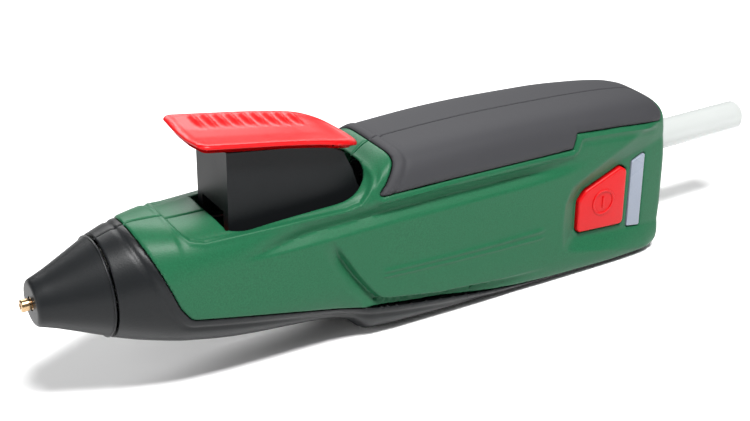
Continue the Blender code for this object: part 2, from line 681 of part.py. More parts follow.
def build_power():
    end = CELL_X + CELL_LENGTH
    turned([(CELL_X, 0.0), (CELL_X, CELL_R - 0.4), (CELL_X + 0.4, CELL_R), (end - 0.4, CELL_R),
            (end, CELL_R - 0.4), (end, 2.4), (end + 0.7, 2.4), (end + 0.7, 0.0)],
           "battery_cell", "cell", height=CELL_Z)
    box((CELL_X - GAP - 0.3, -2.5, CELL_Z - 2.5), (CELL_X - GAP, 2.5, CELL_Z + 6.0), "cell_tab_front", "steel")
    box((end + 0.7 + GAP, -2.5, CELL_Z - 2.5), (end + 1.0 + GAP, 2.5, CELL_Z + 6.0), "cell_tab_rear", "steel")
    outer_y, inner_y = BOARD_Y, BOARD_Y + BOARD_THICK
    box((112.0, outer_y, -14.6), (TAIL_X - 3.0, inner_y, 3.6), "circuit_board", "board")
    socket = box((TAIL_X - 7.4, inner_y + GAP, -12.9), (TAIL_X - 0.8, inner_y + GAP + 2.6, -5.5),
                 "charge_socket", "steel")
    cut(socket, box((TAIL_X - 5.5, inner_y + GAP + 0.4, -12.4), (TAIL_X + 2, inner_y + GAP + 2.2, -6.0),
                    "socket_mouth"))
    box((129.5, outer_y - GAP - 0.8, -8.8), (135.0, outer_y - GAP, -3.4), "button_switch", "steel")
    box((142.2, outer_y - GAP - 0.8, -7.4), (144.0, outer_y - GAP, -4.6), "indicator_led", "white")
    lens_out = HALF_WIDTH - RECESS_DEPTH - 0.3
    prism(LENS_OUTLINE, -lens_out, -lens_out + 1.6, "indicator_lens", "lens")


def build_button():
    """The power button: a raised cap with a skirt inside the shell and a plunger."""
    face = HALF_WIDTH - RECESS_DEPTH + 0.9
    rest = -BOARD_Y + GAP + 0.8 + BUTTON_TRAVEL + 0.1
    cap = prism(BUTTON_OUTLINE, -face, -rest, "power_button", "red")
    cut(cap, prism(grow(BUTTON_OUTLINE, 0.8), -rest - 0.5, -rest, "button_flange"), "UNION")


def build_leads():
    """Two leads from the circuit board to the heating plate, along the housing's roof."""
    routes = {
        "heater_lead_plus": [(30.5, -1.6, 6.4), (34, -2.4, 8.0), (38.2, -7.8, 5.8), (45, -9.2, 3.4),
                             (60, -9.4, 2.0), (80, -9.2, 2.0), (100, -8.2, 1.6), (110.8, -8.2, 1.2)],
        "heater_lead_minus": [(30.5, 1.6, 6.4), (34, 2.4, 8.0), (38.2, 7.8, 5.8), (45, 9.2, 3.4),
                              (60, 9.4, 2.0), (80, 9.2, 1.6), (90, 8.2, -1.4), (98, 2.0, -5.3),
                              (105, -4.6, -4.8), (110.8, -8.2, -1.6)],
    }
    for name, route in routes.items():
        curve = bpy.data.curves.new(name, "CURVE")
        curve.dimensions = "3D"
        curve.bevel_depth = 0.45 * MM
        curve.bevel_resolution = 1
        curve.use_fill_caps = True
        spline = curve.splines.new("POLY")
        points = smooth_route(route, 5)
        spline.points.add(len(points) - 1)
        for target, point in zip(spline.points, points):
            target.co = (*place(*point), 1)
        made = bpy.data.objects.new(name, curve)
        PARTS.objects.link(made)
        curve.materials.append(material("silicone" if name.endswith("plus") else "black"))


def smooth_route(route, parts):
    """Points of a smooth curve through the route's points."""
    points = [Vector(p) for p in route]
    padded = [points[0] * 2 - points[1]] + points + [points[-1] * 2 - points[-2]]
    made = []
    for a, b, c, d in zip(padded, padded[1:], padded[2:], padded[3:]):
        for k in range(parts):
            t = k / parts
            made.append(0.5 * (2 * b + (c - a) * t + (2 * a - 5 * b + 4 * c - d) * t**2
                               + (3 * b - a - 3 * c + d) * t**3))
    return made + [points[-1]]


clear_scene()
PARTS = new_collection("glue_gun")
CUTTERS = new_collection("cutters")
build_nose()
build_hot_end()
build_housing()
build_screws()
build_pad()
build_lever()
build_carriage()
build_spring()
build_stick()
build_power()
build_button()
build_leads()
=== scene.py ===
"""Looks of a cordless pen-shaped hot-glue gun: skins, lever, button, glue stick, finishes and stage.

Stations run along the tool in millimetres from the nozzle tip, y is the side (the button is at
minus y) and heights are counted from the glue axis. place() turns them into the model's metres.
"""

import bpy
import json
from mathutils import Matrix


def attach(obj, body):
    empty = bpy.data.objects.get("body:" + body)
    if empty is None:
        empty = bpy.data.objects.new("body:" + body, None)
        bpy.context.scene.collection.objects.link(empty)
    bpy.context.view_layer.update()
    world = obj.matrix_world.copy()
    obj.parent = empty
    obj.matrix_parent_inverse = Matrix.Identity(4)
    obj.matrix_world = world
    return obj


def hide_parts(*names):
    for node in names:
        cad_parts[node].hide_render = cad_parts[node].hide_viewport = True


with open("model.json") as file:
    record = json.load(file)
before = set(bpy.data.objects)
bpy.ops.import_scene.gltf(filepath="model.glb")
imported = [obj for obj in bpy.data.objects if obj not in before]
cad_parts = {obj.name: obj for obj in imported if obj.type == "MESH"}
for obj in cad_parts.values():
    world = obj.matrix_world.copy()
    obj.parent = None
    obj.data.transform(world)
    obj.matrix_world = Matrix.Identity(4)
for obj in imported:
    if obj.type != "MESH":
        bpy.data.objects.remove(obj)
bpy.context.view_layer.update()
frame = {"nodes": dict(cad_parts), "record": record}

import json
import math

import bmesh
import bpy
import numpy as np
from mathutils import Matrix, Vector
from mathutils.kdtree import KDTree

bl_info = {
    "name": "Cordless Glue Gun",
    "version": (1, 0, 0),
    "blender": (4, 5, 0),
    "location": "3D View > Sidebar > Glue Gun",
    "description": "Builds the visible skins, finishes and stage of a cordless glue gun",
    "category": "Add Mesh",
}

MM = 0.001
ORIGIN_X, BELLY_Z = 104.5, -23.3
TAIL_X, TAIL_ROUND = 152.5, 1.8
HALF_WIDTH = 13.7
SEAM = 0.07             # half the gap between the left and right halves
SEAT_GAP = 0.12         # gap between pieces of different colours


# ---------------------------------------------------------------- settings

def colour_setting(name, text, value):
    return bpy.props.FloatVectorProperty(name=name, description=text, default=value, size=4,
                                         subtype="COLOR", min=0.0, max=1.0)


def length_setting(name, text, value):
    return bpy.props.FloatProperty(name=name, description=text, default=value * MM,
                                   unit="LENGTH", subtype="DISTANCE", min=0.0, precision=5)


class GlueGunColours(bpy.types.PropertyGroup):
    green: colour_setting("Housing green", "Colour of the two housing shells", (0.010, 0.092, 0.040, 1))
    black: colour_setting("Base black", "Colour of the base, nose cone and lever", (0.008, 0.009, 0.010, 1))
    grip: colour_setting("Grip black", "Colour of the soft grip", (0.009, 0.010, 0.011, 1))
    red: colour_setting("Control red", "Colour of the lever pad and the button", (0.52, 0.002, 0.004, 1))
    lens: colour_setting("Lens grey", "Colour of the light strip", (0.22, 0.25, 0.31, 1))
    glue: colour_setting("Glue", "Colour of the glue stick", (0.52, 0.54, 0.53, 1))
    brass: colour_setting("Brass", "Colour of the nozzle", (0.50, 0.34, 0.19, 1))


class GlueGunSizes(bpy.types.PropertyGroup):
    grid: length_setting("Skin grid", "Spacing of the skins' faces", 0.45)
    wall: length_setting("Wall", "Thickness of the shells", 1.6)
    edge: length_setting("Edge rounding", "Rounding where two pieces meet", 0.55)
    groove: length_setting("Groove depth", "Depth of the styling grooves on the sides", 1.7)
    recess: length_setting("Recess depth", "Depth of the field around the button", 2.1)
    rib: length_setting("Rib height", "Height of the thumb pad's ribs", 0.7)


def colours():
    return bpy.context.scene.glue_gun_colours


def sizes():
    return bpy.context.scene.glue_gun_sizes


# ---------------------------------------------------------------- section of the housing

# x, half width, top, bottom, height of the widest line, roundness above and below it
HOUSING = np.array([
    (15.6, 10.4, 10.4, -10.4, 0.0, 2.0, 2.0),
    (22.0, 12.0, 11.9, -12.4, -0.6, 2.2, 2.3),
    (30.0, 13.1, 11.5, -14.1, -1.8, 3.2, 2.8),
    (40.0, HALF_WIDTH - 0.4, 11.2, -16.0, -3.2, 4.2, 3.0),
    (62.0, HALF_WIDTH - 0.3, 11.3, -19.0, -5.0, 6.0, 2.8),
    (67.0, HALF_WIDTH - 0.3, 11.8, -20.2, -5.5, 6.0, 3.2),
    (72.0, HALF_WIDTH - 0.2, 14.0, BELLY_Z - 0.7, -6.0, 6.0, 3.4),
    (77.5, HALF_WIDTH - 0.1, 17.1, BELLY_Z - 0.7, -6.0, 6.0, 3.9),
    (98.0, HALF_WIDTH, 17.5, BELLY_Z - 0.7, -6.0, 6.6, 4.8),
    (125.0, HALF_WIDTH, 16.6, BELLY_Z - 0.7, -6.0, 6.0, 6.0),
    (137.0, HALF_WIDTH, 15.8, BELLY_Z - 0.7, -6.0, 4.8, 6.6),
    (146.0, HALF_WIDTH - 0.2, 14.7, BELLY_Z - 0.6, -6.0, 4.0, 6.5),
    (TAIL_X, HALF_WIDTH - 0.7, 12.9, BELLY_Z + 0.4, -6.0, 3.2, 5.2),
])

GREEN_LOW = [(29.6, -5.9), (36.0, -7.3), (50.0, -10.5), (60.0, -13.0), (69.0, -15.1), (78.0, -16.7),
             (88.0, -18.3), (106.0, -21.0), (125.0, -22.3), (137.0, -22.5), (TAIL_X, -22.5)]
GRIP_OUTLINE = [(72.0, 10.2), (90.0, 10.2), (122.2, 9.6), (123.6, 12.9), (136.0, 11.7), (149.6, 10.0),
                (151.0, 11.2), (151.0, 30.0), (82.7, 30.0), (79.2, 22.0), (77.6, 17.2), (75.9, 15.0),
                (74.1, 12.4)]
BUTTON_OUTLINE = [(125.8, -12.6), (139.4, -13.6), (139.4, 0.2), (137.6, 1.4), (127.6, -2.4), (125.8, -4.6)]
LENS_OUTLINE = [(141.2, -15.0), (145.0, -15.6), (145.0, 3.0), (141.2, 1.6)]
RECESS_FLOOR = [(124.8, -13.9), (140.0, -15.3), (165.0, -17.4), (165.0, 8.0), (147.0, 4.4), (137.6, 2.6),
                (126.6, -1.4), (124.8, -3.8)]
RECESS_RIM = [(122.4, -15.9), (136.0, -19.2), (165.0, -26.0), (165.0, 19.0), (151.0, 13.0), (145.0, 10.3),
              (131.0, 4.5), (122.4, 0.4), (120.6, -3.5), (120.3, -8.4), (120.6, -14.2)]
SCREWS = [(52.0, -8.4), (69.5, -12.4), (100.0, 6.7), (145.0, 7.5), (146.2, -18.2)]
SLOT_HALF, SLOT_FRONT, SLOT_REAR = 10.6, 39.6, 73.0


def place(points):
    """Stations, sides and heights in millimetres as points of the model in metres."""
    return (np.asarray(points, float) - (ORIGIN_X, 0.0, BELLY_Z)) * MM


def smooth_table(table, column, x):
    """A column of a station table at x, by monotone cubic interpolation."""
    table = np.asarray(table, float)
    xs, ys = table[:, 0], table[:, column]
    steps = np.diff(xs)
    slopes = np.diff(ys) / steps
    left, right = slopes[:-1], slopes[1:]
    same = left * right > 0
    inner = np.where(same, 2 * left * right / np.where(same, left + right, 1.0), 0.0)
    tangents = np.concatenate(([slopes[0]], inner, [slopes[-1]]))
    x = np.clip(x, xs[0], xs[-1])
    i = np.clip(np.searchsorted(xs, x, side="right") - 1, 0, len(steps) - 1)
    h = steps[i]
    t = (x - xs[i]) / h
    return ((2 * t**3 - 3 * t**2 + 1) * ys[i] + (t**3 - 2 * t**2 + t) * h * tangents[i]
            + (3 * t**2 - 2 * t**3) * ys[i + 1] + (t**3 - t**2) * h * tangents[i + 1])


def smoothstep(low, high, value):
    t = np.clip((value - low) / (high - low), 0.0, 1.0)
    return t * t * (3 - 2 * t)


def section_at(run):
    """Station and section values at a run along the skin, which turns in over the tail."""
    straight = TAIL_X - TAIL_ROUND
    turn = TAIL_ROUND * math.pi / 2
    angle = np.clip((run - straight) / TAIL_ROUND, 0.0, math.pi / 2)
    x = np.minimum(run, straight) + TAIL_ROUND * np.sin(angle)
    inset = TAIL_ROUND * (1 - np.cos(angle)) + np.maximum(run - straight - turn, 0.0)
    half, top, bottom, middle, upper, lower = (smooth_table(HOUSING, c, x) for c in range(1, 7))
    return x, np.maximum(half - inset, 0.1), top - inset, bottom + inset, middle, upper, lower


def half_ring(half, top, bottom, middle, upper, lower, shares):
    """The left half of one section at shares of its length from the top to the bottom."""
    angle = np.linspace(math.pi / 2, 3 * math.pi / 2, 241)
    up = np.sin(angle) >= 0
    round_of = np.where(up, upper, lower)
    reach = np.where(up, top - middle, middle - bottom)
    y = half * np.sign(np.cos(angle)) * np.abs(np.cos(angle)) ** (2 / round_of)
    z = middle + reach * np.sign(np.sin(angle)) * np.abs(np.sin(angle)) ** (2 / round_of)
    length = np.concatenate(([0.0], np.cumsum(np.hypot(np.diff(y), np.diff(z)))))
    length /= length[-1]
    return np.interp(shares, length, y), np.interp(shares, length, z)


# ---------------------------------------------------------------- outlines as distances

def outline_distance(outline, a, b):
    """Signed distance to a closed outline, negative inside."""
    points = np.asarray(outline, float)
    following = np.roll(points, -1, axis=0)
    best = np.full(a.shape, 1e9)
    inside = np.zeros(a.shape, bool)
    for (ax, ay), (bx, by) in zip(points, following):
        ex, ey = bx - ax, by - ay
        t = np.clip(((a - ax) * ex + (b - ay) * ey) / (ex * ex + ey * ey), 0.0, 1.0)
        best = np.minimum(best, np.hypot(a - ax - ex * t, b - ay - ey * t))
        crosses = (ay > b) != (by > b)
        at = ax + (b - ay) / np.where(by == ay, 1e-9, by - ay) * ex
        inside ^= crosses & (a < at)
    return np.where(inside, -best, best)


def shrunk(outline, amount):
    """An outline pulled in (or pushed out) by an amount, corner by corner."""
    points = np.asarray(outline, float)
    before = points - np.roll(points, 1, axis=0)
    after = np.roll(points, -1, axis=0) - points
    before /= np.linalg.norm(before, axis=1)[:, None]
    after /= np.linalg.norm(after, axis=1)[:, None]
    following = np.roll(points, -1, axis=0)
    area = np.sum(points[:, 0] * following[:, 1] - following[:, 0] * points[:, 1])
    side = 1 if area > 0 else -1
    normal = np.stack((before[:, 1] + after[:, 1], -before[:, 0] - after[:, 0]), 1) * side
    normal /= np.linalg.norm(normal, axis=1)[:, None]
    edge = np.stack((before[:, 1], -before[:, 0]), 1) * side
    reach = np.maximum(0.35, np.sum(normal * edge, axis=1))
    return points - normal * (amount / reach)[:, None]


def rounded(outline, radius, a, b, grow=0.0):
    """Signed distance to an outline with rounded corners, grown by an amount."""
    return outline_distance(shrunk(outline, radius), a, b) - radius - grow


def path_distance(path, a, b):
    """Distance to an open path, the share along it, and which side of it."""
    points = np.asarray(path, float)
    lengths = np.hypot(*np.diff(points, axis=0).T)
    total = lengths.sum()
    best = np.full(a.shape, 1e9)
    share = np.zeros(a.shape)
    side = np.ones(a.shape)
    run = 0.0
    for (ax, ay), (bx, by), length in zip(points, points[1:], lengths):
        ex, ey = bx - ax, by - ay
        t = np.clip(((a - ax) * ex + (b - ay) * ey) / length**2, 0.0, 1.0)
        far = np.hypot(a - ax - ex * t, b - ay - ey * t)
        closer = far < best
        best = np.where(closer, far, best)
        share = np.where(closer, (run + t * length) / total, share)
        side = np.where(closer, np.sign((b - ay) * ex - (a - ax) * ey), side)
        run += length
    return best, share, side


def green_edge(a, b):
    """Signed distance to the green shells' front and lower edge, negative on the green."""
    xs = np.linspace(GREEN_LOW[0][0], TAIL_X, 26)
    low = list(zip(xs, smooth_table(GREEN_LOW, 1, xs)))
    front = [(17.5, 23.3), (22.0, 11.5), (23.6, 7.4), (25.8, 1.6), (27.4, -2.6)]
    outline = front + low + [(TAIL_X + 30, -22.5), (TAIL_X + 30, 60.0), (17.5, 60.0)]
    return rounded(outline, 3.0, a, b)


def grip_edge(a, b):
    return rounded(GRIP_OUTLINE, 0.5, a, b)


def slot_edge(x, y):
    """Signed distance to the lever's opening seen from above, negative inside the opening."""
    bulge = 0.4 * (1 - np.clip(np.abs(y) / SLOT_HALF, 0, 1) ** 2)
    front = SLOT_FRONT - bulge
    outline = [(36.0, -SLOT_HALF), (SLOT_REAR, -SLOT_HALF), (SLOT_REAR, SLOT_HALF), (36.0, SLOT_HALF)]
    return np.maximum(rounded(outline, 8.4, x, y), front - x)


# ---------------------------------------------------------------- skins

def skin_grid(first, last, spacing):
    """A fine sheet laid on the housing's left half from one station to another."""
    lowest = (HALF_WIDTH - 0.7) - TAIL_ROUND
    end = last if last < TAIL_X - TAIL_ROUND else TAIL_X - TAIL_ROUND + TAIL_ROUND * math.pi / 2 + lowest
    columns = int((end - first) / spacing)
    rows = int(52.0 / spacing)
    bm = bmesh.new()
    bmesh.ops.create_grid(bm, x_segments=columns, y_segments=rows, size=1.0)
    bm.verts.ensure_lookup_table()
    flat = np.array([v.co[:2] for v in bm.verts])
    column = np.rint((flat[:, 0] + 1) / 2 * columns).astype(int)
    share = (flat[:, 1] + 1) / 2
    points = np.zeros((len(flat), 3))
    runs = first + (end - first) * np.arange(columns + 1) / columns
    for k, run in enumerate(runs):
        here = column == k
        x, *values = section_at(np.array(run))
        y, z = half_ring(*(float(v) for v in values), share[here])
        points[here] = np.stack((np.full(here.sum(), float(x)), np.minimum(y, -SEAM), z), 1)
    for vert, point in zip(bm.verts, points):
        vert.co = point
    bmesh.ops.recalc_face_normals(bm, faces=bm.faces)
    face = max(bm.faces, key=lambda f: -f.calc_center_median().y)
    if face.normal.y > 0:
        bmesh.ops.reverse_faces(bm, faces=bm.faces)
    bm.normal_update()
    tree = KDTree(len(bm.verts))
    for i, vert in enumerate(bm.verts):
        tree.insert(vert.co, i)
    tree.balance()
    return bm, (tree, [v.normal.copy() for v in bm.verts])


def outward(vert, guide):
    """The way out at a point: the untrimmed skin's, where there is one to follow."""
    if guide is None:
        return vert.normal.copy()
    tree, normals = guide
    way = Vector((0, 0, 0))
    for _, i, far in tree.find_n(vert.co, 4):
        way += normals[i] / (far + 0.02)
    return way.normalized()


def coordinates(bm):
    return np.array([v.co for v in bm.verts]).reshape(-1, 3)


def trim(bm, edge_of, weld=0.3):
    """Removes the part of a sheet where edge_of(points) is negative, along a clean line."""
    bm.verts.index_update()
    values = edge_of(coordinates(bm))
    values = np.where(np.abs(values) < 1e-6, 1e-6, values)
    crossing, shares = [], {}
    for edge in bm.edges:
        a, b = values[edge.verts[0].index], values[edge.verts[1].index]
        if a * b < 0:
            crossing.append(edge)
            shares[edge] = a / (a - b)
    if crossing:
        old = set(bm.verts)
        bmesh.ops.subdivide_edges(bm, edges=crossing, cuts=1, edge_percents=shares, use_only_quads=False)
        fresh = [v for v in bm.verts if v not in old]
        bmesh.ops.connect_verts(bm, verts=fresh)
        on_line = set(fresh)
    else:
        on_line = set()
    bm.verts.ensure_lookup_table()
    bm.verts.index_update()
    centres = np.array([f.calc_center_median() for f in bm.faces])
    remove = edge_of(centres) < 0
    bmesh.ops.delete(bm, geom=[f for f, gone in zip(list(bm.faces), remove) if gone], context="FACES")
    weld_short(bm, {v for v in on_line if v.is_valid}, weld)
    return bm


def weld_short(bm, on_line, share):
    """Merges grid points that lie very near the trimmed line into it."""
    targets = {}
    for vert in on_line:
        for edge in vert.link_edges:
            other = edge.other_vert(vert)
            if other in on_line or other.is_boundary or other in targets:
                continue
            if edge.calc_length() < share * 0.45:
                targets[other] = vert
    if targets:
        bmesh.ops.weld_verts(bm, targetmap=targets)
    bmesh.ops.dissolve_degenerate(bm, dist=0.01, edges=bm.edges)


def refine_edge(bm, reach):
    """Halves the faces within a distance of the sheet's open edge."""
    tree, _ = edge_tree(bm)
    close = {v for v in bm.verts if tree.find(v.co)[2] < reach}
    edges = [e for e in bm.edges if e.verts[0] in close and e.verts[1] in close]
    bmesh.ops.subdivide_edges(bm, edges=edges, cuts=1, use_grid_fill=True)


def refine_lines(bm, lines, reach):
    """Halves the faces within a distance of paths drawn on the side."""
    points = coordinates(bm)
    near = np.minimum.reduce([path_distance(line, points[:, 0], points[:, 2])[0] for line in lines]) < reach
    bm.verts.ensure_lookup_table()
    bm.verts.index_update()
    edges = [e for e in bm.edges if near[e.verts[0].index] and near[e.verts[1].index]]
    bmesh.ops.subdivide_edges(bm, edges=edges, cuts=1, use_grid_fill=True)


def edge_tree(bm, skip=None):
    """A search tree over the sheet's open edge, sampled finely."""
    samples = []
    for edge in bm.edges:
        if not edge.is_boundary:
            continue
        a, b = edge.verts[0].co, edge.verts[1].co
        if skip and skip(a) and skip(b):
            continue
        for k in range(3):
            samples.append(a.lerp(b, k / 3))
    tree = KDTree(max(1, len(samples)))
    for i, point in enumerate(samples):
        tree.insert(point, i)
    tree.balance()
    return tree, samples


def push(bm, amounts, guide):
    """Moves a sheet's points out along the skin's normals by amounts in millimetres."""
    for vert, amount in zip(bm.verts, amounts):
        vert.co += outward(vert, guide) * float(amount)


def roll_edge(bm, radius, skip=None, guide=None):
    """Rounds the sheet down towards its open edge."""
    tree, samples = edge_tree(bm, skip)
    if not samples:
        return
    bm.normal_update()
    drops = []
    for vert in bm.verts:
        far = tree.find(vert.co)[2]
        drops.append(0.0 if far >= radius else radius - math.sqrt(max(0.0, radius**2 - (radius - far) ** 2)))
    for vert, drop in zip(bm.verts, drops):
        if drop:
            vert.co -= outward(vert, guide) * drop * 0.8


def mirrored(bm):
    """A copy of a sheet for the right side."""
    other = bm.copy()
    bmesh.ops.scale(other, vec=(1, -1, 1), verts=other.verts)
    bmesh.ops.reverse_faces(other, faces=other.faces)
    return other


def joined(name, sheets, finish, wall=None, smooth=48):
    """One object of several sheets, each given a wall and laid in the model's metres."""
    mesh = bpy.data.meshes.new(name)
    whole = bmesh.new()
    for sheet in sheets:
        part = bpy.data.meshes.new("part")
        sheet.to_mesh(part)
        sheet.free()
        whole.from_mesh(part)
        bpy.data.meshes.remove(part)
    for vert in whole.verts:
        vert.co = Vector(place(vert.co))
    whole.to_mesh(mesh)
    whole.free()
    mesh.shade_smooth()
    mesh.set_sharp_from_angle(angle=math.radians(smooth))
    made = bpy.data.objects.new(name, mesh)
    bpy.context.scene.collection.objects.link(made)
    mesh.materials.append(finish)
    if wall:
        solid = made.modifiers.new("wall", "SOLIDIFY")
        solid.thickness = wall
        solid.offset = -1.0
        solid.use_quality_normals = True
        solid.use_even_offset = False
    return made


def dress(made, body, slot, *nodes):
    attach(made, body)
    if nodes:
        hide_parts(*nodes)


# ---------------------------------------------------------------- relief of the green shells

UPPER_CREST = [(40.4, 4.0), (53.4, 3.9), (62.8, 3.8), (76.8, 4.0), (102.2, 3.9), (114.4, 3.8), (131.0, 4.8)]
LOWER_CREST = [(61.3, 4.4), (63.7, -0.2), (67.2, -5.9), (70.9, -11.0), (72.6, -12.8), (74.8, -13.6),
               (87.4, -16.0), (103.5, -17.5), (114.6, -17.9), (132.0, -18.6)]
TRIM_BROAD = [(72.6, -6.9), (89.5, -7.7), (102.8, -8.1), (116.0, -8.2)]
TRIM_THIN = [(72.6, -8.1), (89.6, -9.1), (102.9, -9.7), (116.7, -10.1)]
DECK_CREASE = [(29.2, 12.5), (30.0, 10.8), (31.4, 9.6), (34.0, 9.0), (54.0, 9.0), (65.0, 8.7),
               (68.3, 9.2), (70.3, 10.9), (72.3, 13.3), (74.5, 17.5)]

# Heights and depths of the small relief: each is the most that it stands out or sinks
BROAD_TRIM_HEIGHT, THIN_TRIM_HEIGHT = 0.3, 0.25
LIP_HEIGHT, LIP_FURROW = 0.32, 0.18
DECK_DEPTH, CREASE_HEIGHT, BAND_HEIGHT = 0.6, 0.25, 0.3


def arm_groove(x, z, depth):
    """The groove along the upper line: a soft upper wall and a crisp lower one."""
    crest = smooth_table(UPPER_CREST, 1, x)
    above = z - crest
    strength = smoothstep(40.0, 56.0, x) * (1 - smoothstep(108.0, 130.0, x))
    broad = 0.4 + 1.5 * smoothstep(40.5, 60.0, x)
    wall = np.clip(above / broad, 0.0, 1.0)
    soft = 1 - smoothstep(0.0, 1.0, (above - broad) / 3.8)
    return -depth * strength * np.where(above < 0, 0.0, np.where(above < broad, wall, soft))


def panel_groove(x, z, depth):
    """The groove down the diagonal and along the bottom of the panel."""
    far, share, side = path_distance(LOWER_CREST, x, z)
    strength = smoothstep(0.0, 0.10, share) * (1 - smoothstep(0.45, 0.85, share))
    outside = np.where(side < 0, far, -far)
    steep = smoothstep(0.0, 1.1, outside)
    soft = 1 - np.clip((outside - 1.1) / 2.9, 0.0, 1.0)
    return -depth * strength * np.where(outside < 1.1, steep, soft)


def trim_lines(x, z):
    """Two thin raised lines across the panel."""
    first, share, _ = path_distance(TRIM_BROAD, x, z)
    fade = smoothstep(0.0, 0.03, share) * (1 - smoothstep(0.94, 1.0, share))
    second, _, _ = path_distance(TRIM_THIN, x, z)
    broad = BROAD_TRIM_HEIGHT * np.exp(-(first / 0.5) ** 2)
    thin = THIN_TRIM_HEIGHT * np.exp(-(second / 0.35) ** 2)
    return (broad + thin) * fade


def grip_lip(x, z):
    """A thin raised line in the green that follows the grip's lower edge."""
    away = grip_edge(x, z)
    under = smoothstep(70.0, 73.0, x) * (1 - smoothstep(146.0, 149.0, x))
    lip = LIP_HEIGHT * under * np.exp(-((away - 1.15) / 0.42) ** 2)
    furrow = LIP_FURROW * under * np.exp(-((away - 2.1) / 0.5) ** 2)
    return lip - furrow


def deck_step(x, z):
    """The sunk deck around the lever's opening, its crisp crease and the raised band in front of it."""
    far, _, side = path_distance(DECK_CREASE, x, z)
    inner = np.where(side > 0, far, -far) * (x < 76.0)
    sunk = smoothstep(0.0, 0.9, inner) * (1 - smoothstep(70.0, 75.0, x))
    ridge = np.exp(-(far / 0.42) ** 2) * (1 - smoothstep(72.0, 75.0, x)) * (z > 7.0)
    band = smoothstep(20.5, 24.0, x) * (1 - smoothstep(28.6, 29.6, x)) * smoothstep(4.0, 10.0, z)
    return -DECK_DEPTH * sunk + CREASE_HEIGHT * ridge + BAND_HEIGHT * band


def sink_field(bm, depth):
    """Sinks the field around the button, with walls as wide as the space between floor and rim."""
    x, y, z = coordinates(bm).T
    under = np.maximum(0.0, -rounded(RECESS_RIM, 1.6, x, z))
    beyond = np.maximum(0.0, rounded(RECESS_FLOOR, 1.6, x, z))
    share = under / np.maximum(under + beyond, 1e-6)
    for vert, amount in zip(bm.verts, depth * share * smoothstep(7.5, 11.2, -y)):
        vert.co.y += amount


def green_relief(points):
    x, y, z = points.T
    size = sizes()
    depth = size.groove / MM
    side = np.clip((np.abs(y) - 9.0) / 2.5, 0.0, 1.0) * (x < TAIL_X - 0.5)
    amount = (np.minimum(arm_groove(x, z, depth), panel_groove(x, z, depth)) + trim_lines(x, z)) * side
    amount += grip_lip(x, z) * side
    return amount + deck_step(x, z)


# ---------------------------------------------------------------- pieces of the housing

def hole_at(points, centre, radius, axes):
    a, b = points[:, axes[0]], points[:, axes[1]]
    return np.hypot(a - centre[0], b - centre[1]) - radius


def green_sheet(left):
    spacing = sizes().grid / MM
    bm, guide = skin_grid(20.0, TAIL_X, spacing)
    trim(bm, lambda p: -green_edge(p[:, 0], p[:, 2]) - SEAT_GAP / 2)
    trim(bm, lambda p: grip_edge(p[:, 0], p[:, 2]) - SEAT_GAP / 2)
    trim(bm, lambda p: np.where(p[:, 2] > 3.0, slot_edge(p[:, 0], p[:, 1]), 5.0))
    trim(bm, lambda p: np.where(p[:, 0] > TAIL_X - 1, hole_at(p, (0, 0), 4.4, (1, 2)), 5.0))
    if left:
        trim(bm, lambda p: np.where(p[:, 1] < -7, rounded(BUTTON_OUTLINE, 1.2, p[:, 0], p[:, 2], 0.25), 5.0))
        trim(bm, lambda p: np.where(p[:, 1] < -7, rounded(LENS_OUTLINE, 0.4, p[:, 0], p[:, 2], 0.15), 5.0))
        mouth = [(-7.9, -13.4), (-4.4, -13.4), (-4.4, -5.0), (-7.9, -5.0)]
        trim(bm, lambda p: np.where(p[:, 0] > TAIL_X - 1, rounded(mouth, 0.8, p[:, 1], p[:, 2]), 5.0))
    else:
        for x, z in SCREWS:
            trim(bm, lambda p: np.where(np.abs(p[:, 1]) > 6, hole_at(p, (x, z), 1.95, (0, 2)), 5.0))
    refine_edge(bm, 0.9)
    refine_lines(bm, [TRIM_BROAD, TRIM_THIN, LOWER_CREST, DECK_CREASE], 1.3)
    push(bm, green_relief(coordinates(bm)), guide)
    if left:
        sink_field(bm, sizes().recess / MM)
    roll_edge(bm, sizes().edge / MM, guide=guide)
    return bm if left else mirrored(bm)


def build_green():
    finish = plastic("green_housing", colours().green, 0.42, grain=0.5, speck=0.12, sheen=0.2)
    for left, name in ((True, "shell_left"), (False, "shell_right")):
        made = joined(f"green_{name}", [green_sheet(left)], finish, sizes().wall)
        dress(made, "housing", "green_plastic", name)


def keel_sheet():
    spacing = sizes().grid / MM
    bm, guide = skin_grid(15.75, TAIL_X, spacing)
    trim(bm, lambda p: green_edge(p[:, 0], p[:, 2]) - SEAT_GAP / 2)
    for vert in bm.verts:
        vert.co.z = max(vert.co.z, BELLY_Z)
    refine_edge(bm, 0.9)
    points = coordinates(bm)
    away = green_edge(points[:, 0], points[:, 2])
    lip = -0.28 * np.exp(-((away - 1.9) / 0.45) ** 2) * (points[:, 2] > BELLY_Z + 1)
    push(bm, lip, guide)
    roll_edge(bm, 0.35, guide=guide)
    return bm


def build_keel():
    finish = plastic("black_base", colours().black, 0.40, grain=0.45, speck=0.05, sheen=0.22)
    left = keel_sheet()
    made = joined("black_base", [left.copy(), mirrored(left)], finish, sizes().wall)
    left.free()
    dress(made, "housing", "black_plastic", "keel")


